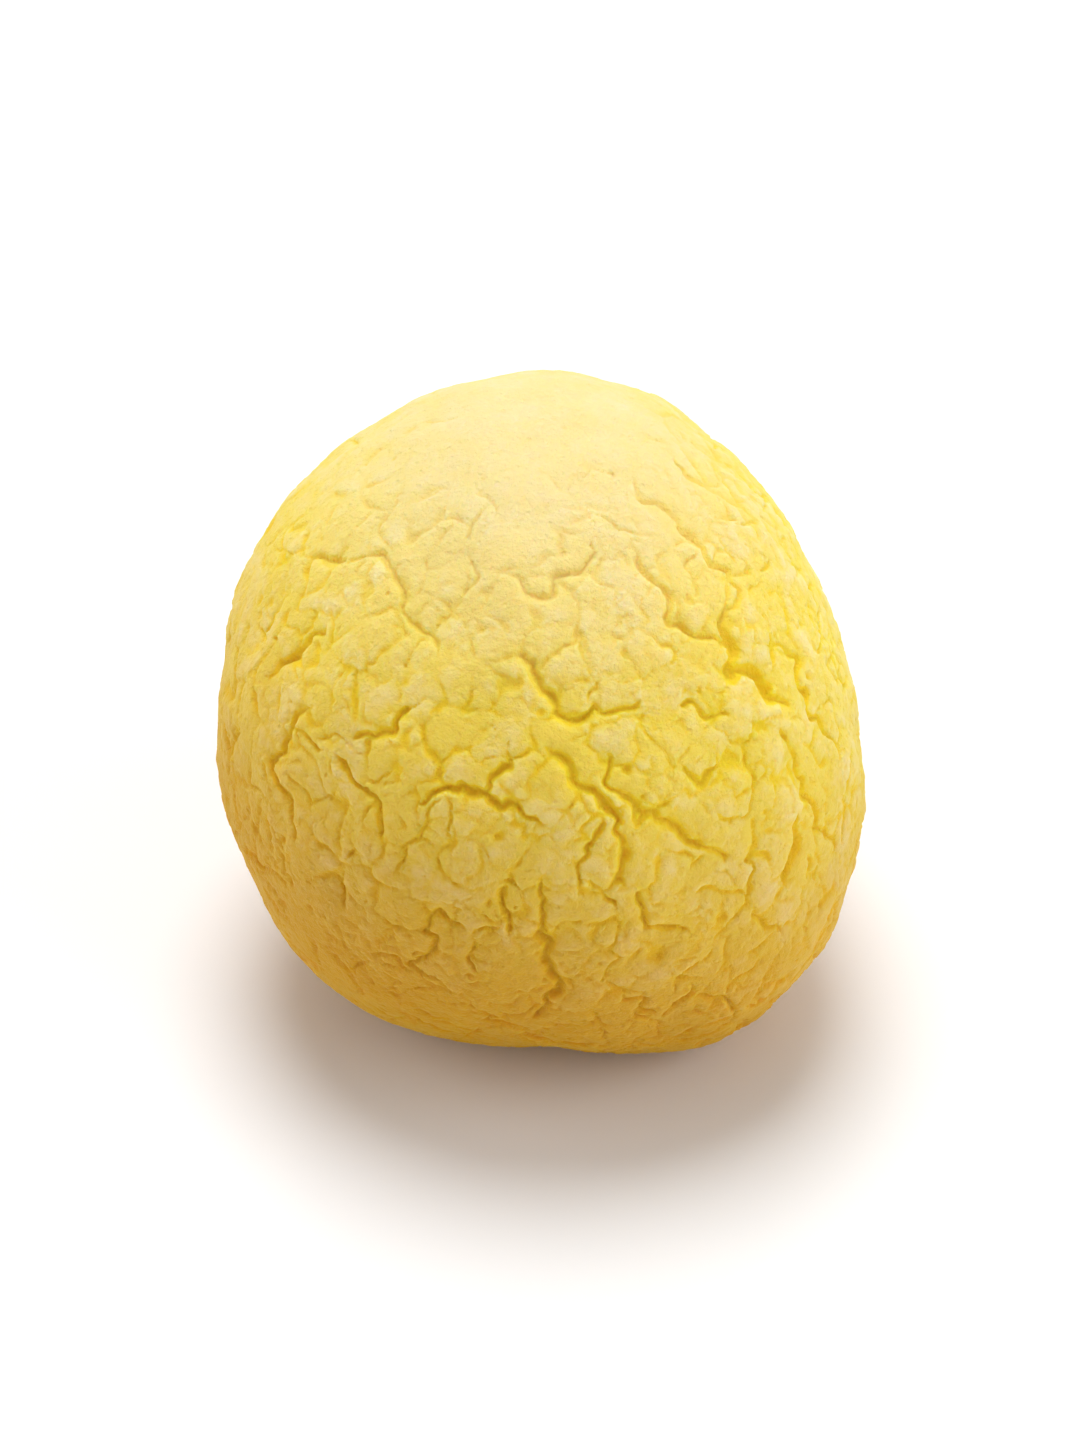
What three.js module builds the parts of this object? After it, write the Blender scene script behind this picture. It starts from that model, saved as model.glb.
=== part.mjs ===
// A rajbhog: one large ball of fresh curd cheese, tinted with saffron and poached in syrup until its
// skin crazed into plates. It is a single solid, with the fissures cut into it as relief.
// Lengths are millimetres and +Z is up. The origin lies under the middle of the ball, on the flat
// spot that it rests on. The front faces -Y.
import * as THREE from "three";
import { ConvexHull } from "three/addons/math/ConvexHull.js";

// Driving dimensions of the ball
const BALL_RADIUS = 27.7; // before its lobes and hollows
const SEAT_DROP = 24.9; // from the ball's middle down to the flat spot
const SEAT_TURNS = [38, 131, 220, 312]; // where the flat spot's corners lie, in degrees round from the right
const SEAT_RISE = 0.1; // slope of the skin just outside the flat spot
const SEAT_BLEND = 1.3; // height over which the side rounds into the flat spot
const SWELL = 0.22; // soft uneven rise and fall of the whole skin
const SWELL_LENGTH = 13; // from one rise to the next

// Driving dimensions of the crazed skin
const PLATE_COUNT = 290; // plates all round the ball
const PLATE_JITTER = 0.42; // how far a plate's middle strays, as a share of the plate spacing
const WHOLE_SHARE = 0.4; // share of the seams between plates that never opened
const SEAM_DEPTH = 0.75; // deepest seam between two plates
const LEAST_SEAM_DEPTH = 0.3; // a shallower seam is left out
const LEAST_OPENED = 0.6; // share of its depth to which the least opened seam goes
const SEAM_VARIATION = 0.35; // share by which a seam's depth changes along it
const SEAM_VARIATION_LENGTH = 9;
const SEAM_WANDER = 0.5; // how far a seam strays from the straight line
const FISSURE_WANDER = 0.3; // the same for each leg of a placed fissure
const FISSURE_END = 0.55; // share of its depth that a placed fissure keeps at its ends
const FISSURE_VARIATION = 0.15; // share by which its depth changes from station to station
const SLOPE = 0.78; // a fissure's half width for each millimetre of its depth
const LEAST_HALF_WIDTH = 0.34;
const LIP = 0.16; // how far a plate's lip stands up beside a fissure
const PLATE_TILT_LENGTH = 10; // over which the higher side of a fissure changes from left to right
const BESIDE_FISSURE = 2.4; // a seam that keeps this near to a placed fissure is left out
const FISSURE_JOIN = 0.9; // a seam that meets a placed fissure stops this short of its floor

// Spacing of the surface's points
const STATION_STEP = 1.12; // along a fissure's floor
const FLOOR_GAP = 0.62; // least, between two points on floors
const LIP_GAP = 0.55; // least, between two points on lips
const LIP_SHARE = 0.93; // least, from a lip to a floor, as a share of the fissure's half width
const SKIN_STEP = 2.15; // between two points of the skin away from the fissures
const SKIN_TO_FLOOR = 1.5; // least, from such a point to a floor
const SKIN_TO_LIP = 1.25; // least, from such a point to a lip
const HEXAGON_SHARE = Math.sqrt(3) / 2; // area for each evenly spread point, over its spacing squared

// Numbers that keep the fixed draws for different things apart
const SERIES = { middle: [1, 2, 3], swell: 5, whole: 7, opened: 8, variation: 11, tilt: 21, fissure: 100 };

// The ball is described as it is seen from the front and above.
const VIEW_LIFT = THREE.MathUtils.degToRad(40);
const RIGHT = new THREE.Vector3(1, 0, 0);
const UPWARD = new THREE.Vector3(0, Math.sin(VIEW_LIFT), Math.cos(VIEW_LIFT));
const TO_VIEWER = new THREE.Vector3(0, -Math.cos(VIEW_LIFT), Math.sin(VIEW_LIFT));

// Lobes and hollows round the outline in that view: degrees round from the right, degrees of spread, rise.
const LOBES = [
  { turn: -52, spread: 24, rise: 3.6 }, // low lobe on the right
  { turn: -128, spread: 24, rise: 1.5 }, // low lobe on the left
  { turn: -90, spread: 14, rise: -1.5 }, // pressed flat between them
  { turn: 20, spread: 28, rise: -2 }, // slack right shoulder
  { turn: 90, spread: 26, rise: 1.9 }, // crown
  { turn: 142, spread: 18, rise: 0.9 }, // full left shoulder
];

// The fissures that opened widest in front. A course is in millimetres to the right of the ball's
// middle and above it in that view, and depth is at its deepest point.
const FISSURES = [
  { depth: 1, course: [[7.8, 19.5], [10.1, 17], [13.1, 14.4], [15.6, 12.2], [16.1, 9.2]] },
  { depth: 1.7, course: [[16.1, 9.2], [15.4, 7.4], [16, 4.7], [17.8, 2.6], [20.1, 1.2]] },
  { depth: 1, course: [[8.1, 13.2], [10.1, 9.1], [11.8, 7.4], [14.4, 7]] },
  { depth: 0.7, course: [[10.8, 21.7], [13.6, 19.5]] },
  { depth: 0.8, course: [[19.3, 6.5], [21.6, 5.2], [22.4, 2.2], [24.4, -3.3]] },
  { depth: 0.9, course: [[20.1, -1.3], [20.8, -4.1], [22.3, -6.8], [23.6, -10.8]] },
  { depth: 1.1, course: [[-2.2, 4.8], [-0.6, 4.2], [-0.3, 2.2], [2.3, -0.3], [4, 0.2], [6.8, 0.6]] },
  { depth: 1.3, course: [[0.3, -2.3], [1.8, -3.6], [4.8, -7.6], [5.6, -9.4], [6.3, -13.3]] },
  { depth: 1.1, course: [[5.1, -3.6], [6.7, -6.8], [7.8, -8.1], [10.3, -8.8], [14.3, -11.3]] },
  { depth: 0.9, course: [[11.6, -3.8], [12.6, -5], [14.4, -4]] },
  { depth: 0.8, course: [[16.3, -2.3], [17.1, -4.3], [17, -6]] },
  { depth: 0.8, course: [[7.8, -14.3], [8.1, -16.3], [10.8, -17.6]] },
  { depth: 1.2, course: [[-10.2, -6.6], [-8.5, -6.3], [-7, -4.8], [-5.2, -6.4], [-0.7, -8.3]] },
  { depth: 0.8, course: [[-3.2, -2.6], [-4.5, -5.4]] },
  { depth: 1.1, course: [[-0.2, -13.6], [-1.2, -15.6], [0.3, -20.3], [1, -22.3], [-1.2, -24.3]] },
  { depth: 0.8, course: [[-10.7, -17.4], [-8.8, -16.1], [-7.2, -17.1]] },
  { depth: 0.9, course: [[-20.2, 0.9], [-21.7, -1.3], [-22.4, -3.8], [-21, -9.3]] },
  { depth: 0.9, course: [[-17.2, -4.1], [-15.2, -6.4], [-13.8, -9.8]] },
  { depth: 0.9, course: [[-11.4, 0.9], [-13, -1.2], [-15.5, -2.1]] },
  { depth: 0.9, course: [[-23.2, 4], [-21.7, 5], [-18.7, 7.4]] },
  { depth: 1, course: [[-19.2, 13.3], [-17.2, 12.8]] },
  { depth: 0.8, course: [[-15.6, 13.1], [-14, 13.2], [-11, 7.8], [-10, 5.6]] },
  { depth: 0.8, course: [[-2.6, 11.1], [-1.2, 10.5], [2.4, 11.8], [3.4, 14]] },
];

// How strongly the skin crazed: wide patches, each round a direction, with a gain above or below SKIN_CRAZED.
const SKIN_CRAZED = 0.72;
const CRAZED_PATCHES = [
  { toward: [0, 0.05, 1], spread: 30, gain: -0.5 }, // the crown stayed smooth
  { toward: [0.1, -0.95, 0.35], spread: 38, gain: 0.3 },
  { toward: [-0.55, -0.62, -0.5], spread: 24, gain: -0.4 }, // smooth flank, low on the left
  { toward: [0.5, 0.8, 0.1], spread: 30, gain: 0.25 },
  { toward: [-0.8, 0.55, 0.2], spread: 26, gain: -0.3 },
];

// A fixed draw from 0 to 1, the same in every run.
function draw(series, n) {
  const s = Math.sin(series * 127.1 + n * 311.7) * 43758.5453;
  return s - Math.floor(s);
}

// A smooth value from about -1 to 1 that rises and falls over the ball with the given length.
function wander(point, length, series) {
  const waves = 7;
  let sum = 0;
  for (let k = 0; k < waves; k++) {
    const lift = 2 * draw(series, 3 * k) - 1;
    const round = 2 * Math.PI * draw(series, 3 * k + 1);
    const level = Math.sqrt(1 - lift * lift);
    const along = point.x * level * Math.cos(round) + point.y * level * Math.sin(round) + point.z * lift;
    sum += Math.sin(2 * Math.PI * (along / length + draw(series, 3 * k + 2)));
  }
  return sum / Math.sqrt(waves);
}

function bump(direction, toward, spreadDegrees) {
  const spread = THREE.MathUtils.degToRad(spreadDegrees);
  return Math.exp((direction.dot(toward) - 1) / (spread * spread));
}

// The ball's radius along a direction, with its lobes and hollows but without the fissures.
function bodyRadius(direction) {
  let radius = BALL_RADIUS;
  for (const { turn, spread, rise } of LOBES) {
    const angle = THREE.MathUtils.degToRad(turn);
    const toward = RIGHT.clone().multiplyScalar(Math.cos(angle)).addScaledVector(UPWARD, Math.sin(angle));
    radius += rise * bump(direction, toward, spread);
  }
  const onBall = direction.clone().multiplyScalar(BALL_RADIUS);
  return radius + SWELL * wander(onBall, SWELL_LENGTH, SERIES.swell);
}

// How strongly the skin crazed along a direction, from 0 to 1.
function crazed(direction) {
  let share = SKIN_CRAZED;
  for (const { toward, spread, gain } of CRAZED_PATCHES) {
    share += gain * bump(direction, new THREE.Vector3(...toward).normalize(), spread);
  }
  return THREE.MathUtils.clamp(share, 0, 1);
}

// The direction of a point that is seen so far right and so far up from the ball's middle.
function seenAt([right, up]) {
  const near = Math.sqrt(Math.max(BALL_RADIUS ** 2 - right ** 2 - up ** 2, 1));
  return new THREE.Vector3()
    .addScaledVector(RIGHT, right)
    .addScaledVector(UPWARD, up)
    .addScaledVector(TO_VIEWER, near)
    .normalize();
}

function apart(a, b) {
  return a.distanceTo(b) * BALL_RADIUS;
}

// Directions spread evenly over the ball, in a spiral.
function spiral(count) {
  const golden = Math.PI * (3 - Math.sqrt(5));
  return Array.from({ length: count }, (_, n) => {
    const z = 1 - (2 * n + 1) / count;
    const level = Math.sqrt(1 - z * z);
    return new THREE.Vector3(level * Math.cos(n * golden), level * Math.sin(n * golden), z);
  });
}

// Stations along the arc between two directions: evenly spaced, straying sideways between its ends.
function stationsAlong(from, to, strayed, series) {
  const steps = Math.max(1, Math.round(apart(from, to) / STATION_STEP));
  const sideways = from.clone().cross(to).normalize();
  return Array.from({ length: steps + 1 }, (_, k) => {
    const share = k / steps;
    const here = from.clone().lerp(to, share).normalize();
    const stray = strayed * Math.sin(Math.PI * share) * (2 * draw(series, k) - 1);
    return here.addScaledVector(sideways, stray / BALL_RADIUS).normalize();
  });
}

// One placed fissure as stations with a depth, which fades towards both of its ends.
function fissureStations({ depth, course }, index) {
  const stations = [];
  for (let k = 1; k < course.length; k++) {
    const series = SERIES.fissure + 10 * index + k;
    const leg = stationsAlong(seenAt(course[k - 1]), seenAt(course[k]), FISSURE_WANDER, series);
    stations.push(...(k === 1 ? leg : leg.slice(1)));
  }
  const last = stations.length - 1;
  return stations.map((direction, k) => {
    const fade = FISSURE_END + (1 - FISSURE_END) * Math.sin((Math.PI * (k + 0.5)) / (last + 1));
    return { direction, depth: depth * fade * (1 + FISSURE_VARIATION * (2 * draw(index, k) - 1)) };
  });
}

// The seams between plates: the borders between the areas that lie nearest to each plate's middle.
function seams() {
  const spacing = Math.sqrt((4 * Math.PI) / PLATE_COUNT);
  const middles = spiral(PLATE_COUNT).map((direction, n) => {
    const stray = new THREE.Vector3(...SERIES.middle.map((series) => draw(series, n) - 0.5));
    return direction.addScaledVector(stray, 2 * PLATE_JITTER * spacing).normalize();
  });
  const number = new Map(middles.map((direction, n) => [direction, n]));
  const found = [];
  for (const face of new ConvexHull().setFromPoints(middles).faces) {
    let edge = face.edge;
    do {
      const [i, j] = [number.get(edge.tail().point), number.get(edge.head().point)];
      if (i < j) {
        found.push({ from: face.normal.clone(), to: edge.twin.face.normal.clone(), series: i * PLATE_COUNT + j });
      }
      edge = edge.next;
    } while (edge !== face.edge);
  }
  return found;
}

// One seam as runs of stations. It is left out where it never opened, and where it would run beside a
// placed fissure. Another seam runs up to the fissure and ends there.
function seamRuns({ from, to, series }, placed) {
  const course = stationsAlong(from, to, SEAM_WANDER, series);
  const gaps = course.map((direction) => Math.min(...placed.map((station) => apart(station.direction, direction))));
  const stationsBeside = gaps.filter((gap) => gap < BESIDE_FISSURE).length;
  if (draw(SERIES.whole, series) < WHOLE_SHARE || stationsBeside > course.length / 2) {
    return [];
  }
  const opened = LEAST_OPENED + (1 - LEAST_OPENED) * draw(SERIES.opened, series);
  const runs = [[]];
  course.forEach((direction, k) => {
    const onBall = direction.clone().multiplyScalar(BALL_RADIUS);
    const variation = SEAM_VARIATION * wander(onBall, SEAM_VARIATION_LENGTH, SERIES.variation);
    const depth = SEAM_DEPTH * opened * crazed(direction) * (1 + variation);
    if (depth > LEAST_SEAM_DEPTH && gaps[k] > FISSURE_JOIN) {
      runs.at(-1).push({ direction, depth });
    } else {
      runs.push([]);
    }
  });
  return runs.filter((run) => run.length > 2);
}

function halfWidth(depth) {
  return Math.max(LEAST_HALF_WIDTH, depth * SLOPE);
}

// The two lips beside a station, at right angles to the way that the fissure runs there. The plate on
// one side stands higher than the other, and which side that is changes over the ball.
function lipsBeside(run, k) {
  const { direction, depth } = run[k];
  const before = run[Math.max(k - 1, 0)].direction;
  const after = run[Math.min(k + 1, run.length - 1)].direction;
  const sideways = after.clone().sub(before).cross(direction).normalize();
  const reach = halfWidth(depth) / BALL_RADIUS;
  const tilt = wander(direction.clone().multiplyScalar(BALL_RADIUS), PLATE_TILT_LENGTH, SERIES.tilt);
  return [-1, 1].map((side) => ({
    direction: direction.clone().addScaledVector(sideways, side * reach).normalize(),
    rise: LIP * Math.min(depth, 1) * (1 + side * tilt),
  }));
}

// Points kept at least a given distance apart: the first that is offered stays.
class Scatter {
  constructor(cell) {
    this.cell = cell;
    this.kept = [];
    this.cells = new Map();
  }

  cellOf(direction) {
    return direction.toArray().map((x) => Math.floor((x * BALL_RADIUS) / this.cell));
  }

  add(point, clearance) {
    const [x, y, z] = this.cellOf(point.direction);
    for (let i = x - 1; i <= x + 1; i++) {
      for (let j = y - 1; j <= y + 1; j++) {
        for (let k = z - 1; k <= z + 1; k++) {
          for (const other of this.cells.get([i, j, k].join()) ?? []) {
            if (apart(other.direction, point.direction) < clearance(other)) {
              return;
            }
          }
        }
      }
    }
    const key = [x, y, z].join();
    this.cells.set(key, [...(this.cells.get(key) ?? []), point]);
    this.kept.push(point);
  }
}

// The direction of one of the flat spot's corners: where the ball would pass through the level of the flat spot.
function seatCorner(turnDegrees) {
  const turn = THREE.MathUtils.degToRad(turnDegrees);
  const toward = (tilt) =>
    new THREE.Vector3(Math.sin(tilt) * Math.cos(turn), Math.sin(tilt) * Math.sin(turn), -Math.cos(tilt));
  let [inside, outside] = [0, Math.PI / 3];
  for (let k = 0; k < 40; k++) {
    const tilt = (inside + outside) / 2;
    const direction = toward(tilt);
    [inside, outside] = -direction.z * bodyRadius(direction) > SEAT_DROP ? [tilt, outside] : [inside, tilt];
  }
  return toward(inside);
}

// The flat spot's sides, each as a distance from the ball's middle along the way that it faces.
function seatSides(corners) {
  const places = corners.map((direction) => direction.clone().multiplyScalar(bodyRadius(direction)));
  return places.map((from, k) => {
    const to = places[(k + 1) % places.length];
    const facing = new THREE.Vector2(to.y - from.y, from.x - to.x).normalize();
    return { facing, away: facing.dot(from) };
  });
}

const SEAT_CORNERS = SEAT_TURNS.map(seatCorner);
const SEAT_SIDES = seatSides(SEAT_CORNERS);

// How far a place lies outside the flat spot, or less than 0 inside it.
function outsideSeat(place) {
  return Math.max(...SEAT_SIDES.map(({ facing, away }) => facing.dot(place) - away));
}

// True where the ball is pressed flat, well inside the flat spot's edge.
function insideSeat(direction) {
  return direction.z < 0 && outsideSeat(direction.clone().multiplyScalar(BALL_RADIUS)) < -SKIN_STEP;
}

// Every point of the surface, as a direction from the ball's middle with its rise above the body.
function surfacePoints() {
  const placed = FISSURES.map(fissureStations);
  const runs = [...placed, ...seams().flatMap((seam) => seamRuns(seam, placed.flat()))];
  const scatter = new Scatter(SKIN_STEP);
  for (const direction of [new THREE.Vector3(0, 0, -1), ...SEAT_CORNERS]) {
    scatter.add({ direction, rise: 0, floor: false }, () => 0);
  }
  for (const run of runs) {
    for (const { direction, depth } of run) {
      if (!insideSeat(direction)) {
        scatter.add({ direction, rise: -depth, floor: true }, () => FLOOR_GAP);
      }
    }
  }
  for (const run of runs) {
    for (let k = 0; k < run.length; k++) {
      for (const { direction, rise } of lipsBeside(run, k)) {
        if (!insideSeat(direction)) {
          scatter.add({ direction, rise, floor: false }, (other) =>
            other.floor ? LIP_SHARE * halfWidth(-other.rise) : LIP_GAP);
        }
      }
    }
  }
  const skinCount = Math.round((4 * Math.PI * BALL_RADIUS ** 2) / (HEXAGON_SHARE * SKIN_STEP ** 2));
  for (const direction of spiral(skinCount)) {
    if (!insideSeat(direction)) {
      scatter.add({ direction, rise: 0, floor: false }, (other) => (other.floor ? SKIN_TO_FLOOR : SKIN_TO_LIP));
    }
  }
  return scatter.kept;
}

// Rounds the underside into the level flat spot.
function seated(place) {
  const outside = Math.max(outsideSeat(place), 0);
  const lowest = SEAT_RISE * outside - SEAT_DROP;
  const above = place.z - lowest;
  if (above < SEAT_BLEND) {
    const share = Math.max(above + SEAT_BLEND, 0) / (2 * SEAT_BLEND);
    place.z = lowest + Math.min(outside, SEAT_BLEND) * share * share;
  }
  return place;
}

// The closed skin through all the points, with the origin under the middle of the ball's box.
function ballGeometry() {
  const points = surfacePoints();
  const number = new Map(points.map((point, n) => [point.direction, n]));
  const corners = [];
  for (const face of new ConvexHull().setFromPoints(points.map((point) => point.direction)).faces) {
    for (const edge of [face.edge, face.edge.next, face.edge.next.next]) {
      corners.push(number.get(edge.head().point));
    }
  }
  const positions = points.flatMap(({ direction, rise }) =>
    seated(direction.clone().multiplyScalar(bodyRadius(direction) + rise)).toArray());
  const geometry = new THREE.BufferGeometry();
  geometry.setAttribute("position", new THREE.Float32BufferAttribute(positions, 3));
  geometry.setIndex(corners);
  geometry.computeBoundingBox();
  const { min, max } = geometry.boundingBox;
  geometry.translate(-(min.x + max.x) / 2, -(min.y + max.y) / 2, -min.z);
  geometry.computeVertexNormals();
  return geometry;
}

const curd = new THREE.MeshStandardMaterial({ color: "#f3d873", roughness: 0.6, metalness: 0 });
const rajbhog = new THREE.Group();
const ball = new THREE.Mesh(ballGeometry(), curd);
ball.name = "rajbhog";
rajbhog.add(ball);

export default rajbhog;
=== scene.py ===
"""A rajbhog on a pale floor: the crazed skin and the curd of the ball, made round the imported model.

The ball's form and its wide fissures are read from the solid. This script closes those fissures to get
the smooth body, and then carves them again with sharp edges, with finer crazing and grain between them.
"""

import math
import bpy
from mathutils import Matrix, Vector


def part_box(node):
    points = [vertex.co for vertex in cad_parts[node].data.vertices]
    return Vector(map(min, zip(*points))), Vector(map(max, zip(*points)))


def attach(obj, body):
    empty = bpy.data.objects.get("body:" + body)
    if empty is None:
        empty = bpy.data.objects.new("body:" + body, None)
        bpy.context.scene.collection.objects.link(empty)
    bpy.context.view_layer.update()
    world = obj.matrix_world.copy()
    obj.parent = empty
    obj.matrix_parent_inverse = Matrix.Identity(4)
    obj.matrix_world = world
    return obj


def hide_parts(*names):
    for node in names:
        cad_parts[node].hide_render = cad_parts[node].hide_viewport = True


bl_info = {
    "name": "Rajbhog",
    "version": (1, 0, 0),
    "blender": (4, 5, 0),
    "location": "View3D > Sidebar > Rajbhog",
    "description": "Makes a saffron rajbhog with a crazed skin, and the stage that it stands on",
    "category": "Object",
}

from types import SimpleNamespace

import bmesh
import bpy
import numpy as np
from bpy.props import FloatProperty, FloatVectorProperty, IntProperty, PointerProperty
from bpy.types import Operator, Panel, PropertyGroup
from mathutils import Vector, kdtree, noise

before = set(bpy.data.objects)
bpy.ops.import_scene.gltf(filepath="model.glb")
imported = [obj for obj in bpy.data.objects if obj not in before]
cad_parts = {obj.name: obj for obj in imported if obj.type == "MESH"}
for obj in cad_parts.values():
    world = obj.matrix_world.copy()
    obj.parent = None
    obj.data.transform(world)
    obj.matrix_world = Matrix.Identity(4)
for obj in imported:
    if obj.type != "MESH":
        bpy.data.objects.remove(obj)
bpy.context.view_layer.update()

MM = 0.001
BALL = "rajbhog"

# The ball in millimetres, worked out from the solid's box
LOW, HIGH = (np.array(corner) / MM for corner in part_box(BALL))
HEIGHT = HIGH[2]
MIDDLE_SHARE = 0.468  # of the height, from the flat spot up to the ball's middle
MIDDLE = np.array([0.0, 0.0, MIDDLE_SHARE * HEIGHT])
BALL_RADIUS = (HIGH[0] - LOW[0]) / 2

# Reading the solid's fissures, in mm
LIP_DEPTHS = (0.12, 0.2)  # a corner deeper than this below the closed skin is left out of the next closing
FLOOR_DEPTH = 0.22  # a corner deeper than this lies on a fissure's floor
LONGEST_FLOOR_EDGE = 1.9  # a longer edge between two such corners crosses a plate
FLOOR_STEP = 0.1  # between two points along a floor
MOST_CRAZING = 1.0  # a deeper fissure doesn't make the crazing round it any denser
BLOCK = 1500  # directions that are worked out at a time, to keep the memory small

# The wide fissures as they are carved, in mm
WIDE_BENDS = ((2.5, 1.3), (1.2, 0.35))  # how long their bends are, and how far each kind strays
WIDE_DEPTH = 0.61  # of a fissure that is 1 mm deep in the solid
WIDE_DEPTH_POWER = 0.75  # under 1, so that the shallow ones keep more of their depth
WIDE_DEPTH_CHANGE = 0.3  # share by which the depth changes along a fissure
WIDE_DEPTH_LENGTH = 1.4  # over which it changes
WIDE_LEAST_HALF_WIDTH = 0.13
WIDE_OPENING = 0.75  # half width gained with the square of the depth
WIDE_WIDTH_CHANGE = 0.55  # share by which the width changes along a fissure
WIDE_WIDTH_LENGTH = 1.2  # over which it changes
RIM_DROP = 0.11  # how far a plate's rim rounds down towards a wide fissure
RIM_REACH = 0.6  # how far from the fissure the rounding fades
RIM_FULL_DEPTH = 0.6  # depth of a fissure that has the whole of that drop

# Sections of the grooves, as shares of a groove's half width
FLAT_FLOOR = 0.1
NARROW_FLOOR = 0.05
SOFT_RIM = 1.15
PIT_RIM = 1.2

# The cells that the skin is parted into. Lengths are shares of a cell's size.
CELL_AREA = 0.87  # of one cell, over the square of its size
CELL_JITTER = 0.55  # how far a cell's middle strays, over the spacing of the middles
CELL_BENDS = ((0.8, 0.32), (0.3, 0.13))  # how long the bends in a border are, and how far each kind strays
OPENING = 0.3  # how far the opened share lies above a border's draw where that border is fully open
END_START = 0.1  # in mm from a groove's end, where it begins
END_WIDTHS = 4  # half widths from a groove's end, where it has its whole depth
LEAST_REACH = 0.55  # half width of the least opened groove, over the given one
REACH_GAIN = 0.75  # what a fully opened groove has more
PAIR_FACTORS = (12.9898, 78.233)  # that turn a pair of cells into a number for its border
PAIR_SCALE = 43758.5453

# The small open pits, in mm
PIT_LEAST_HALF_WIDTH = 0.2
PIT_HALF_WIDTH_RANGE = 0.45
PIT_LEAST_DEPTH = 0.15
PIT_DEPTH_RANGE = 0.3
PIT_JITTER = 1.0  # how far a pit strays, over the spacing of the pits
PIT_BEND = (0.8, 0.3)  # how long the bends in a pit's edge are, and how far they stray

# How strongly the skin crazed
FULLY_CRAZED = 0.15  # mean depth in mm of the solid's fissures where the skin is fully crazed
CROWN_START = 0.91  # share of the height where the smoother crown begins
CROWN_SMOOTHNESS = 0.4  # share of the crazing that the crown lacks
FAINTEST = 0.3  # share of the relief that the skin keeps where it isn't crazed at all
PATCH_LENGTH = 4.5  # in mm, from a patch of parted plates to a patch of loose nodules
PLATES_PARTED = 0.78  # share of the borders between plates that opened where the skin is fully crazed
PLATES_PARTED_CHANGE = 0.35  # from patch to patch
MOST_PLATES_PARTED = 0.9
# Share of the borders between nodules that opened
NODULES_PARTED = {"base": 0.02, "crazed": 0.5, "patch": -0.4, "limits": (0, 0.7)}
# How much of the nodules and the grain shows
CRUMBLINESS = {"base": 0.42, "crazed": 0.42, "patch": -0.3, "limits": (0.25, 1)}
# Width and depth of the grooves, over what is common
WIDENING = {"base": 0.85, "change": 1.1, "length": 1.7, "limits": (0.15, 2)}
NODULE_GROOVE_WIDTH = 0.8  # over the width of the grooves between plates

# What stands up from the skin, in mm
PLATE_STEP_SHARE = 1.4  # a plate's step, over a nodule's
PLATE_BLEND = 0.5  # how far from its border a plate begins to slope to the next one's level
NODULE_BLEND = 0.35  # the same for a nodule
DOME_HEIGHT = 0.07  # how far a plate's edges curve down
PLATE_DOME_REACH = 0.5  # how far from its border a plate still curves down
NODULE_DOME_REACH = 0.25  # the same for a nodule
NODULE_DOME_SHARE = 1.2  # a nodule's dome, over a plate's
GRAIN_BEND = (1.2, 0.3)  # how long the bends in the grain are, and how far they stray
GRAIN_LENGTH = 1.5
FINE_GRAIN_LENGTH = 0.8
FINE_GRAIN_SHARE = 0.6  # height of the fine grain, over the coarse one's
GRAIN_LEVEL = 0.35  # taken off, so that the grain rises and falls about the skin
WIDE_EDGE = (0.05, 0.4)  # depths of a wide fissure between which the plates' relief ends
SWELL_LENGTH = 4.8
SEAT_EDGE = (0.02, 0.8)  # heights between which the relief begins, so that the flat spot stays level

# The values that colour the skin
PLATE_TONE = 0.08  # how far one plate's tone differs from the next one's
PATCH_TONE = 0.65  # and one patch's from the next one's
BLOTCH_TONE = 0.4  # and one blotch's
BLOTCH_LENGTH = 2.3
SEAM_REACH = 0.2  # in mm, how far from a border the skin is stained
SEAM_FADING = {"base": 0.6, "change": 0.9, "length": 2.6, "limits": (0, 1)}
RIM_STAIN = 0.4  # beside a wide fissure, over the full stain

# The curd's colour
RELIEF_SHADING_BAND = (-0.12, 0.08)  # heights of the relief in mm, between which the curd goes from deep to pale: painted light and shade, low curd painted deeper and raised curd paler
RELIEF_SHADING_PALENESS = (-0.3, 0.5)  # share of cream at either end of that band
TONE_PALENESS = 0.6  # share of cream for each unit of tone
FLECK_BAND = (0.4, 0.75)  # of the mottling, between which a creamy fleck begins
FLECK_PALENESS = 0.6  # share of cream in a fleck
GROOVE_BAND = (0.01, 0.22)  # depths in mm between which a groove turns to the fissures' colour
STAIN_SHARE = 0.35  # of the fissures' colour in stained skin
CROWN_HIGHLIGHT_BAND = (0.78, 1.02)  # shares of the height between which the crown is painted paler: a painted highlight, the haze of the overhead light
# share of the painted highlight colour at the very top
CROWN_HIGHLIGHT_SHARE = 0.6
SHADE_AND_SOAK_BAND = (0.82, 0.16)  # shares of the height, from no painted shade down to the full one: painted shade and warm bounce light low down, with some real syrup soaking
SHADE_LEAN_LEFT = 0.26  # how much higher the painted shade reaches on the left, away from the right-hand light, over the way across
PORE_BAND = (0, 0.3)  # from a pore's middle to its edge, over the spacing of the pores
PORE_DEPTH = 0.35  # over the height of the crumb

# Numbers that keep the fixed draws for different things apart
SERIES = {
    "wide bends": (5, 6),
    "wide depth": 4,
    "wide width": 3,
    "plates": 40,
    "nodules": 50,
    "pit sizes": 31,
    "pit places": 32,
    "pit edges": 8,
    "patches": 17,
    "widening": 18,
    "grain bends": 61,
    "grain": 13,
    "fine grain": 14,
    "swell": 15,
    "blotches": 19,
    "seams": 20,
}
SERIES_APART = 19.7  # in lumps, from one series of noise to the next
AXES_APART = (0.3, 0.6, 0.9)  # in series, for the three axes of a move

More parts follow.
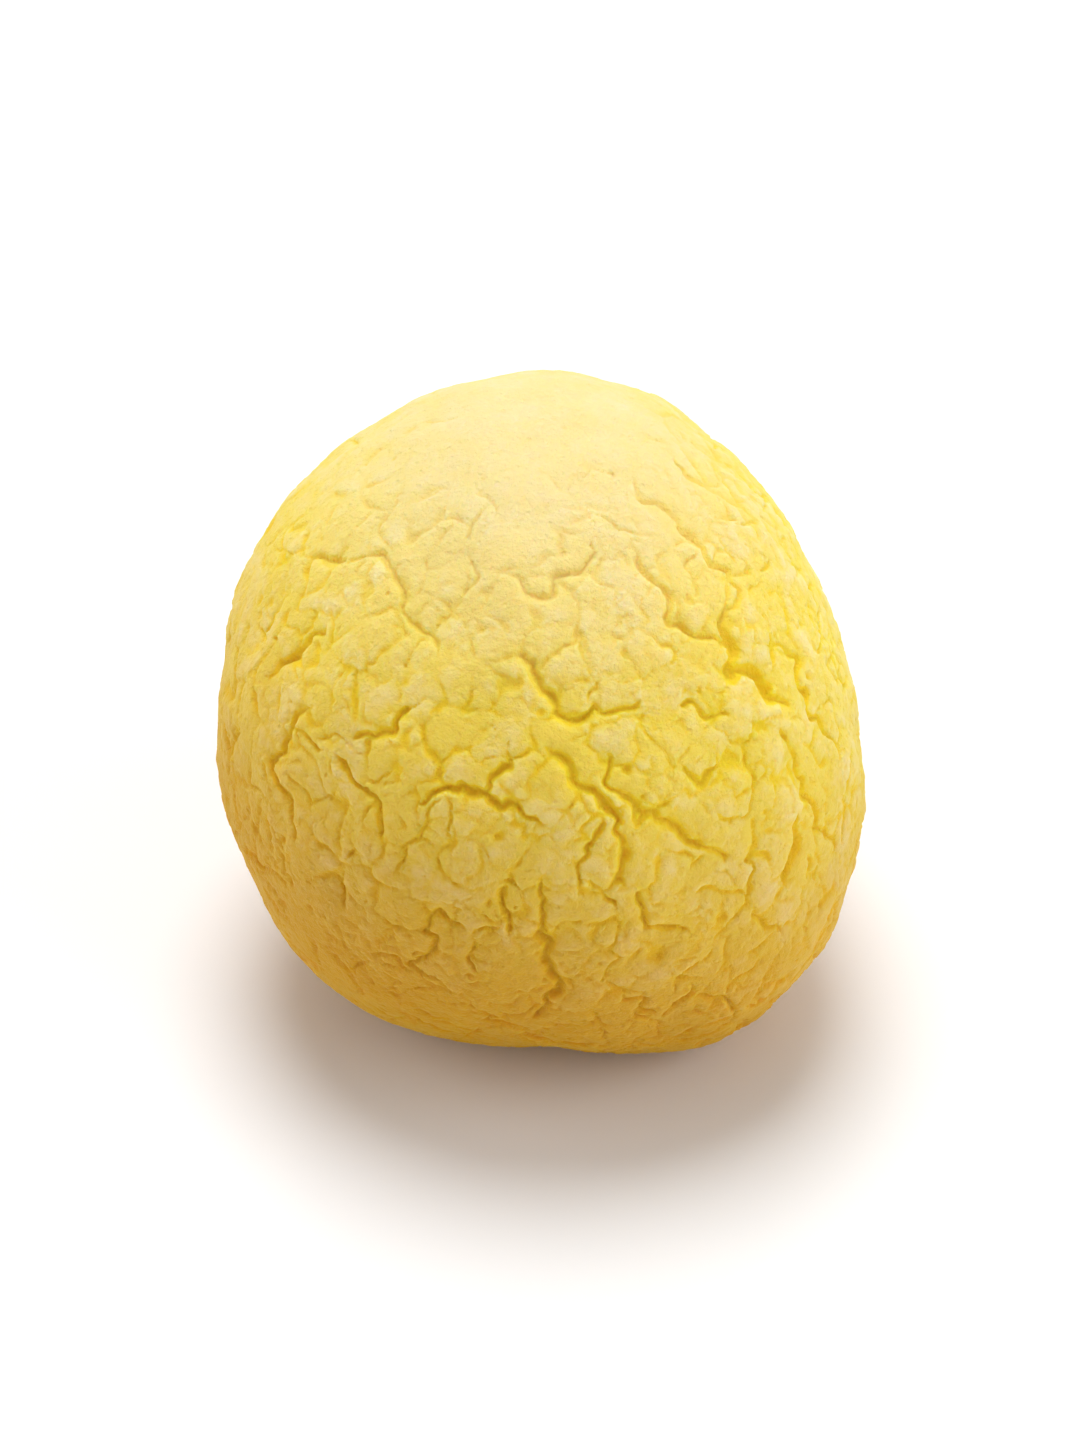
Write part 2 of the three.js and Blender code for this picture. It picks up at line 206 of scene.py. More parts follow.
# The stage
FLOOR_HALF_WIDTH = 30.0  # in metres, so that the floor's edge lies at the horizon
FLOOR_SHADE = 0.985  # the floor's faint darker patches, over its own colour
PICTURE_SIZE = (1080, 1440)
NEAREST_SEEN = 0.01  # in metres from the camera
SKY_LOW = 0.97  # strength at the horizon
SKY_HIGH = 0.34  # strength above it
SKY_LOW_END = 0.15  # how high the brighter band reaches, where straight up is 1
# Each light's direction from the ball, its spread in degrees and its strength
LIGHTS = {
    "overhead": ((-0.05, 0.29, 0.94), 34, 1.97),
    "behind": ((0.0, 1.0, 0.6), 30, 0.36),
    "left": ((-1.0, 0.15, 0.35), 45, 0.62),
    "right": ((1.0, -0.35, 0.5), 50, 1.04),
}


class RajbhogSkin(PropertyGroup):
    """Sizes of the skin."""

    closing_spread: FloatProperty(
        name="Closing spread",
        description="How far the body's form is averaged over, to close the solid's fissures",
        subtype="DISTANCE",
        unit="LENGTH",
        default=1.7 * MM,
    )
    seat_rounding: FloatProperty(
        name="Seat rounding",
        description="Height over which the side rounds into the flat spot",
        subtype="DISTANCE",
        unit="LENGTH",
        default=1.7 * MM,
    )
    crazed_spread: FloatProperty(
        name="Crazed spread",
        description="How far round a place the solid's fissures make the fine crazing denser",
        subtype="DISTANCE",
        unit="LENGTH",
        default=4.0 * MM,
    )
    plate_size: FloatProperty(
        name="Plate size",
        description="Width of a small plate of skin",
        subtype="DISTANCE",
        unit="LENGTH",
        default=3.5 * MM,
    )
    nodule_size: FloatProperty(
        name="Nodule size",
        description="Width of a nodule of curd within a plate",
        subtype="DISTANCE",
        unit="LENGTH",
        default=1.7 * MM,
    )
    nodule_depth: FloatProperty(
        name="Nodule depth",
        description="Depth of a common groove between two nodules",
        subtype="DISTANCE",
        unit="LENGTH",
        default=0.12 * MM,
    )
    crazing_depth: FloatProperty(
        name="Crazing depth",
        description="Depth of a common fissure between two small plates",
        subtype="DISTANCE",
        unit="LENGTH",
        default=0.21 * MM,
    )
    crazing_width: FloatProperty(
        name="Crazing width",
        description="Half the width of a common fissure between two small plates",
        subtype="DISTANCE",
        unit="LENGTH",
        default=0.27 * MM,
    )
    plate_step: FloatProperty(
        name="Plate step",
        description="How far a nodule stands above the skin's mean level, and a plate a little more",
        subtype="DISTANCE",
        unit="LENGTH",
        default=0.035 * MM,
    )
    swell_height: FloatProperty(
        name="Swell height",
        description="Soft rise and fall of the skin",
        subtype="DISTANCE",
        unit="LENGTH",
        default=0.32 * MM,
    )
    grain_height: FloatProperty(
        name="Grain height",
        description="Height of the curd's grains",
        subtype="DISTANCE",
        unit="LENGTH",
        default=0.13 * MM,
    )
    pit_count: IntProperty(name="Pits", description="Small open pits all round the ball", default=320)
    triangle_limit: IntProperty(
        name="Triangle limit",
        description="Most triangles in the finished skin",
        default=196000,
    )


class RajbhogCurd(PropertyGroup):
    """Colours of the curd, as linear values."""

    plate_color: FloatVectorProperty(
        name="Plates",
        description="Pale saffron yellow of the skin",
        subtype="COLOR",
        default=(0.915, 0.695, 0.1),
    )
    cream_color: FloatVectorProperty(
        name="Cream",
        description="Paler curd that shows in flecks, and as painted light on the raised curd",
        subtype="COLOR",
        default=(0.93, 0.75, 0.33),
    )
    fissure_color: FloatVectorProperty(
        name="Fissures",
        description="Deep yellow inside the fissures",
        subtype="COLOR",
        default=(0.96, 0.68, 0.02),
    )
    crown_highlight_color: FloatVectorProperty(
        name="Crown highlight",
        description="Painted highlight haze: paler curd colour on top, where the overhead light falls",
        subtype="COLOR",
        default=(0.93, 0.775, 0.46),
    )
    shade_and_soak_tint: FloatVectorProperty(
        name="Shade and soak tint",
        description="What the curd's colour is multiplied by low down: painted shade and warm bounce light, with some soaking",
        subtype="COLOR",
        default=(0.67, 0.42, 0.002),
    )
    roughness: FloatProperty(
        name="Roughness",
        description="Roughness of the moist skin",
        subtype="FACTOR",
        default=0.66,
    )


class RajbhogStage(PropertyGroup):
    """The camera and the floor."""

    elevation: FloatProperty(
        name="Camera elevation",
        description="Angle of the camera above the floor",
        subtype="ANGLE",
        default=math.radians(40),
    )
    distance: FloatProperty(
        name="Camera distance",
        description="From the camera to the ball's middle",
        subtype="DISTANCE",
        unit="LENGTH",
        default=0.9,
    )
    ball_share: FloatProperty(
        name="Ball share",
        description="Share of the picture's width that the ball fills",
        subtype="FACTOR",
        default=0.6,
    )
    floor_color: FloatVectorProperty(
        name="Floor",
        description="Pale floor",
        subtype="COLOR",
        default=(0.95, 0.95, 0.955),
    )


# Values and noise


def in_mm(group):
    """The group's values by name, with its lengths in mm."""
    values = {}
    for name in group.__annotations__:
        value = getattr(group, name)
        values[name] = value / MM if group.bl_rna.properties[name].unit == "LENGTH" else value
    return SimpleNamespace(**values)


def read_rows(items, name, width=3, kind=np.float32):
    """One property of each item of a Blender collection, as rows of numbers."""
    values = np.empty(width * len(items), kind)
    items.foreach_get(name, values)
    return values.reshape(-1, width)


def eased(value, start, end):
    """0 before start and 1 after end, with a smooth rise between them."""
    share = np.clip((value - start) / (end - start), 0, 1)
    return share * share * (3 - 2 * share)


def furrow(away, half_width, floor, rim):
    """1 on a groove's floor and 0 past its rim, both given as shares of its half width."""
    return 1 - eased(away / half_width, floor, rim)


def fixed_draws(count, columns, seed):
    """Rows of random numbers from 0 to 1, the same in every run."""
    return np.random.RandomState(seed).random_sample((count, columns))


def lumps(points, length, seed):
    """Smooth noise from about -1 to 1 at each point, with lumps of the given length in mm."""
    scaled = points / length + SERIES_APART * seed
    return np.array([noise.noise(p) for p in scaled.tolist()])


def patchwork(points, seed, base, change, length, limits):
    """A base that rises and falls by the given change in lumps, kept within the limits."""
    return np.clip(base + change * lumps(points, length, seed), *limits)


def strayed(points, length, amount, seed):
    """The points, each moved by smooth noise, so that what is laid over them wanders."""
    along_axes = [lumps(points, length, seed + apart) for apart in AXES_APART]
    return points + amount * np.stack(along_axes, axis=1)


def on_ball(points):
    """The points moved straight in or out to one radius, so that distances run along the skin."""
    return BALL_RADIUS * points / np.linalg.norm(points, axis=1)[:, None]


def evenly_spread(count, jitter, seed):
    """Directions spread over the ball in a spiral, each moved a little."""
    n = np.arange(count)
    z = 1 - (2 * n + 1) / count
    turn = n * math.pi * (3 - math.sqrt(5))
    level = np.sqrt(1 - z * z)
    spread = np.stack([level * np.cos(turn), level * np.sin(turn), z], axis=1)
    spread += jitter * math.sqrt(4 * math.pi / count) * (2 * fixed_draws(count, 3, seed) - 1)
    return spread / np.linalg.norm(spread, axis=1)[:, None]


def nearest(points, places, count=1):
    """For each point, the numbers of the nearest places and how far away they are."""
    tree = kdtree.KDTree(len(places))
    for number, place in enumerate(places):
        tree.insert(place, number)
    tree.balance()
    if count == 1:
        found = np.array([tree.find(point)[1:] for point in points.tolist()])
    else:
        found = np.array([[hit[1:] for hit in tree.find_n(point, count)] for point in points.tolist()])
    return found[..., 0].astype(int), found[..., 1]


# Reading the solid


def read_solid():
    """The solid's corners in mm, and its edges as pairs of corners."""
    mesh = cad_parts[BALL].data
    mesh.calc_loop_triangles()
    corners = read_rows(mesh.vertices, "co")
    faces = read_rows(mesh.loop_triangles, "vertices", kind=np.int32)
    points, merged = np.unique(np.round(corners / MM, 3), axis=0, return_inverse=True)
    faces = merged.reshape(-1)[faces]
    sides = np.vstack([faces[:, [0, 1]], faces[:, [1, 2]], faces[:, [2, 0]]])
    return points, np.unique(np.sort(sides, axis=1), axis=0)


def averaged(toward, samples, values, spread):
    """For each direction, the average of the samples' values, weighted by how near they lie."""
    sharpness = (BALL_RADIUS / spread) ** 2
    result = []
    for block in np.array_split(toward, 1 + len(toward) // BLOCK):
        weights = np.exp((block @ samples.T - 1) * sharpness)
        result.append(weights @ values / weights.sum(axis=1))
    return np.concatenate(result)


class ClosedSolid:
    """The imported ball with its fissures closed.

    It holds the solid's corners in mm, its edges, how far each corner lies below the closed skin, and the
    directions and radii of the corners that make up that skin.
    """

    def __init__(self, skin):
        self.points, self.edges = read_solid()
        radii = np.linalg.norm(self.points - MIDDLE, axis=1)
        directions = (self.points - MIDDLE) / radii[:, None]
        side = self.points[:, 2] > skin.seat_rounding / 2
        whole = side.copy()
        for depth in LIP_DEPTHS:
            closed = averaged(directions, directions[whole], radii[whole], skin.closing_spread)
            whole = side & (closed - radii < depth)
        self.directions = directions[whole]
        self.radii = radii[whole]
        self.depths = np.where(side, closed - radii, 0)

    def floor_spans(self):
        """Spans along the fissures' floors, each two ends and their depths, and one past each loose end."""
        points, depths = self.points, self.depths
        floor = depths > FLOOR_DEPTH
        lengths = np.linalg.norm(points[self.edges[:, 0]] - points[self.edges[:, 1]], axis=1)
        along = self.edges[floor[self.edges].all(axis=1) & (lengths < LONGEST_FLOOR_EDGE)]
        links = np.bincount(along.ravel(), minlength=len(points))
        spans = [(points[i], points[j], depths[i], depths[j]) for i, j in along]
        for i, j in np.vstack([along, along[:, ::-1]]):
            if links[i] == 1:
                spans.append((points[i], 2 * points[i] - points[j], depths[i], 0))
        return spans

    def floor_samples(self):
        """Points close together along the fissures' floors, each followed by its depth."""
        samples = []
        for start, end, start_depth, end_depth in self.floor_spans():
            steps = max(2, int(np.linalg.norm(end - start) / FLOOR_STEP))
            share = np.linspace(0, 1, steps)[:, None]
            depths = start_depth + share * (end_depth - start_depth)
            samples.append(np.hstack([start + share * (end - start), depths]))
        return np.vstack(samples)


def wide_fissures(solid):
    """The solid's fissures as points close together along their floors, each with a depth and half width."""
    samples = solid.floor_samples()
    places = on_ball(samples[:, :3] - MIDDLE)
    for (length, amount), seed in zip(WIDE_BENDS, SERIES["wide bends"]):
        places = strayed(places, length, amount, seed)
    deeper = 1 + WIDE_DEPTH_CHANGE * lumps(places, WIDE_DEPTH_LENGTH, SERIES["wide depth"])
    depth = WIDE_DEPTH * samples[:, 3] ** WIDE_DEPTH_POWER * deeper
    wider = 1 + WIDE_WIDTH_CHANGE * lumps(places, WIDE_WIDTH_LENGTH, SERIES["wide width"])
    half_width = (WIDE_LEAST_HALF_WIDTH + WIDE_OPENING * depth**2) * wider
    return on_ball(places), depth, half_width


# Making the surface


def modified(mesh, kind, **settings):
    """The mesh as a modifier of the given kind leaves it, in place of the mesh itself."""
    carrier = bpy.data.objects.new(mesh.name, mesh)
    bpy.context.scene.collection.objects.link(carrier)
    modifier = carrier.modifiers.new(kind, kind)
    for name, value in settings.items():
        setattr(modifier, name, value)
    graph = bpy.context.evaluated_depsgraph_get()
    result = bpy.data.meshes.new_from_object(carrier.evaluated_get(graph))
    bpy.data.objects.remove(carrier)
    bpy.data.meshes.remove(mesh)
    return result


def seated(height, skin):
    """Heights above the ball's middle, with the underside rounded into the level flat spot."""
    above = height + MIDDLE[2]
    share = np.clip(above + skin.seat_rounding, 0, None) / (2 * skin.seat_rounding)
    rounded = skin.seat_rounding * share * share - MIDDLE[2]
    return np.where(above > skin.seat_rounding, height, rounded)


def smooth_body(solid, skin):
    """A fine closed mesh of the body without its fissures, in mm about the ball's middle.

    Its layer "crazed" says how densely the solid is fissured round each corner.
    """
    shaping = bmesh.new()
    bmesh.ops.create_icosphere(shaping, subdivisions=6, radius=1)
    toward = np.array([vertex.co.normalized() for vertex in shaping.verts])
    places = toward * averaged(toward, solid.directions, solid.radii, skin.closing_spread)[:, None]
    places[:, 2] = seated(places[:, 2], skin)
    for vertex, place in zip(shaping.verts, places):
        vertex.co = place
    mesh = bpy.data.meshes.new("body")
    shaping.to_mesh(mesh)
    shaping.free()
    corners = on_ball(solid.points - MIDDLE) / BALL_RADIUS
    depths = np.clip(solid.depths, 0, MOST_CRAZING)
    density = averaged(toward, corners, depths, skin.crazed_spread)
    layer = mesh.attributes.new("crazed", "FLOAT", "POINT")
    layer.data.foreach_set("value", density.astype(np.float32))
    return modified(mesh, "SUBSURF", levels=2)


def thinned(mesh, skin):
    """The mesh with its flattest parts simplified until it keeps to the triangle limit."""
    triangles = sum(len(face.vertices) - 2 for face in mesh.polygons)
    return modified(mesh, "DECIMATE", ratio=min(1, skin.triangle_limit / triangles))


class Cells:
    """The ball's skin parted into cells, each round a middle, with what lies near each point."""

    def __init__(self, ball, size, seed):
        count = int(4 * math.pi * BALL_RADIUS**2 / (CELL_AREA * size**2))
        middles = evenly_spread(count, CELL_JITTER, seed) * BALL_RADIUS
        wandered = ball
        for turn, (length, amount) in enumerate(CELL_BENDS):
            wandered = strayed(wandered, length * size, amount * size, seed + 1 + turn)
        self.at, away = nearest(wandered, middles, 3)
        self.squares = away**2
        self.centres = middles[self.at]
        self.draws = fixed_draws(count, 3, seed + 3)[self.at]

    def border(self, i, j):
        """How far each point lies from the border between its nearest cells i and j."""
        span = np.linalg.norm(self.centres[:, i] - self.centres[:, j], axis=1)
        return np.abs(self.squares[:, j] - self.squares[:, i]) / (2 * span)

    def border_draw(self, i, j):
        """A draw from 0 to 1 for the border between the nearest cells i and j."""
        low = np.minimum(self.at[:, i], self.at[:, j])
        high = np.maximum(self.at[:, i], self.at[:, j])
        pair = np.sin(low * PAIR_FACTORS[0] + high * PAIR_FACTORS[1]) * PAIR_SCALE
        return pair - np.floor(pair)

    def groove(self, share, half_width, depth):
        """Depth of the grooves along the share of the borders that opened, each running out at its ends."""
        deepest = np.zeros(len(self.at))
        # The border between the cells i and j ends where the third cell, k, comes as near
        for i, j, k in ((0, 1, 2), (0, 2, 1), (1, 2, 0)):
            away = self.border(i, j) + (self.border(0, 1) if i == 1 else 0)
            opened = eased(share - self.border_draw(i, j), 0, OPENING)
            beside = np.maximum(share - self.border_draw(i, k), share - self.border_draw(j, k))
            from_end = self.border(min(i, k), max(i, k))
            run_out = eased(from_end, END_START, END_WIDTHS * half_width)
            end = np.maximum(eased(beside, 0, OPENING), run_out)
            reach = half_width * (LEAST_REACH + REACH_GAIN * opened)
            cut = depth * opened * end * furrow(away, reach, NARROW_FLOOR, SOFT_RIM)
            deepest = np.maximum(deepest, cut)
        return deepest

    def stepped(self, column, blend):
        """Each cell's own draw from -1 to 1, blended with its neighbour's across the border."""
        own = 2 * self.draws[:, :2, column] - 1
        share = 0.5 * (1 - eased(self.border(0, 1), 0, blend))
        return own[:, 0] + (own[:, 1] - own[:, 0]) * share


def carve_wide(ball, solid):
    """Depth of the wide fissures at each point, and how far the plates' rims round off towards them."""
    places, depth, half_width = wide_fissures(solid)
    at, away = nearest(ball, places)
    reach = half_width[at]
    groove = depth[at] * furrow(away, reach, FLAT_FLOOR, SOFT_RIM)
    fading = np.exp(-np.clip(away - reach, 0, None) / RIM_REACH)
    return groove, RIM_DROP * fading * eased(depth[at], 0, RIM_FULL_DEPTH)


def carve_pits(ball, skin):
    """Depth of the small open pits at each point."""
    draws = fixed_draws(skin.pit_count, 2, SERIES["pit sizes"])
    places = evenly_spread(skin.pit_count, PIT_JITTER, SERIES["pit places"]) * BALL_RADIUS
    at, away = nearest(strayed(ball, *PIT_BEND, SERIES["pit edges"]), places)
    reach = PIT_LEAST_HALF_WIDTH + PIT_HALF_WIDTH_RANGE * draws[at, 0] ** 2
    depth = PIT_LEAST_DEPTH + PIT_DEPTH_RANGE * draws[at, 1]
    return depth * furrow(away, reach, FLAT_FLOOR, PIT_RIM)


class SkinPattern:
    """The fine pattern of the skin between the wide fissures, at each point of the ball.

    Crazed says how strongly the skin crazed there, from 0 to 1. Patchy is high in patches of parted plates
    and low in patches of loose nodules.
    """

    def __init__(self, ball, crazed, skin):
        self.ball = ball
        self.crazed = crazed
        self.skin = skin
        self.marked = FAINTEST + (1 - FAINTEST) * crazed
        self.patchy = lumps(ball, PATCH_LENGTH, SERIES["patches"])
        self.crumbly = self.varied(**CRUMBLINESS)
        self.plates = Cells(ball, skin.plate_size, SERIES["plates"])
        self.nodules = Cells(ball, skin.nodule_size, SERIES["nodules"])

    def varied(self, base, crazed, patch, limits):
        """A share that changes with how strongly the skin crazed, and from patch to patch."""
        return np.clip(base + crazed * self.crazed + patch * self.patchy, *limits)

    def grooves(self):
        """Depth of the crazing between the plates, the grooves between the nodules, and the pits."""
        skin = self.skin
        widening = patchwork(self.ball, SERIES["widening"], **WIDENING)
        parted = np.clip(
            (PLATES_PARTED + PLATES_PARTED_CHANGE * self.patchy) * self.crazed, 0, MOST_PLATES_PARTED
        )
        crazing = self.plates.groove(parted, skin.crazing_width * widening, skin.crazing_depth * widening)
        narrower = NODULE_GROOVE_WIDTH * skin.crazing_width * widening
        crumbs = self.nodules.groove(self.varied(**NODULES_PARTED), narrower, skin.nodule_depth * widening)
        pits = carve_pits(self.ball, skin) * self.marked
        return np.maximum(crazing, np.maximum(crumbs, pits))

    def raised(self):
        """How far the plates and nodules stand up, each on its own level and a little domed."""
        plate_steps = PLATE_STEP_SHARE * self.plates.stepped(0, PLATE_BLEND) * self.marked
        nodule_steps = self.nodules.stepped(0, NODULE_BLEND) * self.crumbly
        steps = self.skin.plate_step * (plate_steps + nodule_steps)
        plate_edges = np.exp(-self.plates.border(0, 1) / PLATE_DOME_REACH)
        nodule_edges = np.exp(-self.nodules.border(0, 1) / NODULE_DOME_REACH)
        domes = -plate_edges - NODULE_DOME_SHARE * nodule_edges * self.crumbly
        return steps + DOME_HEIGHT * domes * self.marked

    def grain(self):
        """Rise and fall of the curd's grain."""
        bent = strayed(self.ball, *GRAIN_BEND, SERIES["grain bends"])
        coarse = np.abs(lumps(bent, GRAIN_LENGTH, SERIES["grain"]))
        fine = np.abs(lumps(self.ball, FINE_GRAIN_LENGTH, SERIES["fine grain"]))
        billows = coarse + FINE_GRAIN_SHARE * fine - GRAIN_LEVEL
        return self.skin.grain_height * self.crumbly * billows

    def tone(self):
        """How pale the curd is, about 0: it differs a little by plate, and more by patch and blotch."""
        by_plate = PLATE_TONE * self.plates.stepped(1, PLATE_BLEND)
        by_blotch = BLOTCH_TONE * lumps(self.ball, BLOTCH_LENGTH, SERIES["blotches"])
        return by_plate - PATCH_TONE * self.patchy + by_blotch

    def stain(self, rim):
        """How deeply the skin is stained beside the seams and the wide fissures."""
        beside = np.exp(-((self.plates.border(0, 1) / SEAM_REACH) ** 2))
        seams = beside * self.crazed * patchwork(self.ball, SERIES["seams"], **SEAM_FADING)
        return np.maximum(seams, RIM_STAIN * eased(rim, 0, RIM_DROP))


def carved_skin(skin):
    """The finished skin as a bpy mesh, with the places of its corners in mm and the values that colour it."""
    solid = ClosedSolid(skin)
    mesh = smooth_body(solid, skin)
    places = read_rows(mesh.vertices, "co").astype(float)
    outward = read_rows(mesh.vertex_normals, "vector")
    density = read_rows(mesh.attributes["crazed"].data, "value", width=1)[:, 0]
    ball = on_ball(places)
    height = places[:, 2] + MIDDLE[2]

    crown = eased(height, CROWN_START * HEIGHT, HEIGHT)
    crazed = np.clip(density / FULLY_CRAZED, 0, 1) * (1 - CROWN_SMOOTHNESS * crown)
    pattern = SkinPattern(ball, crazed, skin)
    wide, rim = carve_wide(ball, solid)
    groove = np.maximum(wide, pattern.grooves())
    standing = (1 - eased(wide, *WIDE_EDGE)) * pattern.raised() + pattern.grain()
    swell = skin.swell_height * lumps(ball, SWELL_LENGTH, SERIES["swell"])
    rise = (standing - rim - groove + swell) * eased(height, *SEAT_EDGE)

    places += outward * rise[:, None] + MIDDLE
    places[:, 2] = np.clip(places[:, 2], 0, None)
    mesh.vertices.foreach_set("co", (places * MM).astype(np.float32).ravel())
    mesh.update()
    values = {"fissure": groove, "relief": standing, "tone": pattern.tone(), "stain": pattern.stain(rim)}
    return mesh, places, values


def add_values(mesh, places, values):
    """Puts each named value on the mesh's corners, from the nearest place that it was worked out at."""
    at, _ = nearest(read_rows(mesh.vertices, "co") / MM, places)
    for name, value in values.items():
        layer = mesh.attributes.new(name, "FLOAT", "POINT")
        layer.data.foreach_set("value", value[at].astype(np.float32))


# Materials. A function that works out a colour, a value or a normal gives back the socket that it leaves by.


def add_node(tree, kind, place, label="", inputs=None, **settings):
    """A node with its settings. Each input, by name or number, gets a value or the socket that feeds it."""
    node = tree.nodes.new(kind)
    node.location = place
    node.label = label
    for name, value in settings.items():
        setattr(node, name, value)
    for name, value in (inputs or {}).items():
        if isinstance(value, bpy.types.NodeSocket):
            tree.links.new(value, node.inputs[name])
        else:
            node.inputs[name].default_value = value
    return node


def ranged(tree, place, label, value, band, results, smooth=False):
    """A value that goes from the first result to the second while the given one crosses the band."""
    inputs = {"Value": value}
    inputs.update(zip(("From Min", "From Max", "To Min", "To Max"), (*band, *results)))
    way = "SMOOTHSTEP" if smooth else "LINEAR"
    node = add_node(tree, "ShaderNodeMapRange", place, label, inputs, interpolation_type=way)
    return node.outputs["Result"]


def worked_out(tree, place, label, operation, *values, clamp=False):
    """The result of the operation on the given values."""
    numbered = dict(enumerate(values))
    node = add_node(tree, "ShaderNodeMath", place, label, numbered, operation=operation, use_clamp=clamp)
    return node.outputs[0]


def mixed(tree, place, label, share, first, second, blend="MIX"):
    """The first colour, with the given share of the second."""
    colours = {"Factor": share, "A": first, "B": second}
    node = add_node(tree, "ShaderNodeMix", place, label, colours, data_type="RGBA", blend_type=blend)
    return node.outputs["Result"]


def fissured_colour(tree, coordinates, colours):
    """Pale plates with creamy flecks, painted paler where raised and deeper where low as painted light and
    shade on the relief, and deep yellow in the fissures and beside them.
    """
    layers = {}
    for row, name in enumerate(("tone", "relief", "fissure", "stain")):
        node = add_node(tree, "ShaderNodeAttribute", (-1800, 100 + 200 * row), name, attribute_name=name)
        layers[name] = node.outputs["Fac"]
    detail = {"Vector": coordinates, "Scale": 420.0, "Detail": 3.0, "Roughness": 0.65}
    mottling = add_node(tree, "ShaderNodeTexNoise", (-1500, 0), "mottling", detail).outputs["Fac"]
    # Painted light and shade on the relief: the low curd deeper, the raised curd paler
    raised = ranged(tree, (-1500, 300), "painted light on relief", layers["relief"], RELIEF_SHADING_BAND, RELIEF_SHADING_PALENESS)
    tone = layers["tone"]
    toned = worked_out(tree, (-1250, 200), "and plate", "MULTIPLY_ADD", tone, TONE_PALENESS, raised)
    flecks = ranged(tree, (-1250, 0), "flecks", mottling, FLECK_BAND, (0, FLECK_PALENESS))
    pale = worked_out(tree, (-1000, 100), "pale share", "ADD", toned, flecks, clamp=True)
    plate = (*colours.plate_color, 1)
    cream = (*colours.cream_color, 1)
    surface = mixed(tree, (-750, 100), "plates and flecks", pale, plate, cream)
    depth = ranged(tree, (-1000, 450), "depth to colour", layers["fissure"], GROOVE_BAND, (0, 1))
    stain = (layers["stain"], STAIN_SHARE, depth)
    deep = worked_out(tree, (-750, 600), "stained beside", "MULTIPLY_ADD", *stain, clamp=True)
    return mixed(tree, (-500, 200), "fissures", deep, surface, (*colours.fissure_color, 1))


def highlit_crown_shaded_low(tree, coordinates, colour, colours):
    """The curd's colour, with a painted highlight that makes the crown paler, and deeper and darker low down
    and on the left: painted shade and warm bounce light, with some real syrup soaking.
    """
    crown_highlight_band, shade_and_soak_band = ([share * HEIGHT * MM for share in band] for band in (CROWN_HIGHLIGHT_BAND, SHADE_AND_SOAK_BAND))
    height = add_node(tree, "ShaderNodeSeparateXYZ", (-1000, -200), inputs={0: coordinates}).outputs["Z"]
    # Painted highlight: the crown painted paler where the overhead light's haze falls
    high = ranged(tree, (-750, -50), "painted crown highlight", height, crown_highlight_band, (0, CROWN_HIGHLIGHT_SHARE), smooth=True)
    crown_highlit = mixed(tree, (-450, 0), "crown_highlit", high, colour, (*colours.crown_highlight_color, 1))
    # Painted shade: it reaches higher on the left, away from the right-hand light
    leaning = add_node(
        tree,
        "ShaderNodeVectorMath",
        (-1000, -350),
        "painted shade higher on the left",
        inputs={0: coordinates, 1: (SHADE_LEAN_LEFT, 0, 1)},
        operation="DOT_PRODUCT",
    )
    level = leaning.outputs["Value"]
    # Painted shade and warm bounce light low down, with some real syrup soaking, multiplied into the colour
    low = ranged(tree, (-750, -250), "painted shade and soak, lower half", level, shade_and_soak_band, (0, 1), smooth=True)
    return mixed(tree, (-250, 200), "shade and soak", low, crown_highlit, (*colours.shade_and_soak_tint, 1), "MULTIPLY")


def crumbed_normal(tree, coordinates):
    """The normal of a surface with fine crumb and open pores."""
    grain = {"Vector": coordinates, "Scale": 1700.0, "Detail": 3.0, "Roughness": 0.7}
    crumb = add_node(tree, "ShaderNodeTexNoise", (-750, -450), "fine crumb", grain).outputs["Fac"]
    spots = {"Vector": coordinates, "Scale": 950.0, "Randomness": 1.0}
    pores = add_node(tree, "ShaderNodeTexVoronoi", (-1500, -500), "pores", spots).outputs["Distance"]
    sunken = ranged(tree, (-1250, -500), "open pores", pores, PORE_BAND, (-PORE_DEPTH, 0), smooth=True)
    pitted = worked_out(tree, (-500, -450), "crumb and pores", "ADD", crumb, sunken)
    bump = {"Height": pitted, "Strength": 1.0, "Distance": 0.35 * MM}
    return add_node(tree, "ShaderNodeBump", (-250, -300), "crumb", bump).outputs["Normal"]


def curd_material(colours):
    """Moist saffron curd: it lets a little light in, and has a soft bloom instead of a shine."""
    material = bpy.data.materials.new("curd")
    material.use_nodes = True
    tree = material.node_tree
    tree.nodes.clear()
    coordinates = add_node(tree, "ShaderNodeTexCoord", (-2100, 0)).outputs["Object"]
    fissured = fissured_colour(tree, coordinates, colours)
    finish = {
        "Base Color": highlit_crown_shaded_low(tree, coordinates, fissured, colours),
        "Normal": crumbed_normal(tree, coordinates),
        "Roughness": colours.roughness,
        "Specular IOR Level": 0.2,
        "Subsurface Weight": 0.85,
        "Subsurface Radius": (1.0, 0.75, 0.25),
        "Subsurface Scale": 1.4 * MM,
        "Coat Weight": 0.08,
        "Coat Roughness": 0.5,
        "Sheen Weight": 0.2,
        "Sheen Roughness": 0.45,
        "Sheen Tint": (1.0, 0.86, 0.25, 1),
    }
    curd = add_node(tree, "ShaderNodeBsdfPrincipled", (0, 100), inputs=finish)
    add_node(tree, "ShaderNodeOutputMaterial", (350, 100), inputs={"Surface": curd.outputs["BSDF"]})
    return material


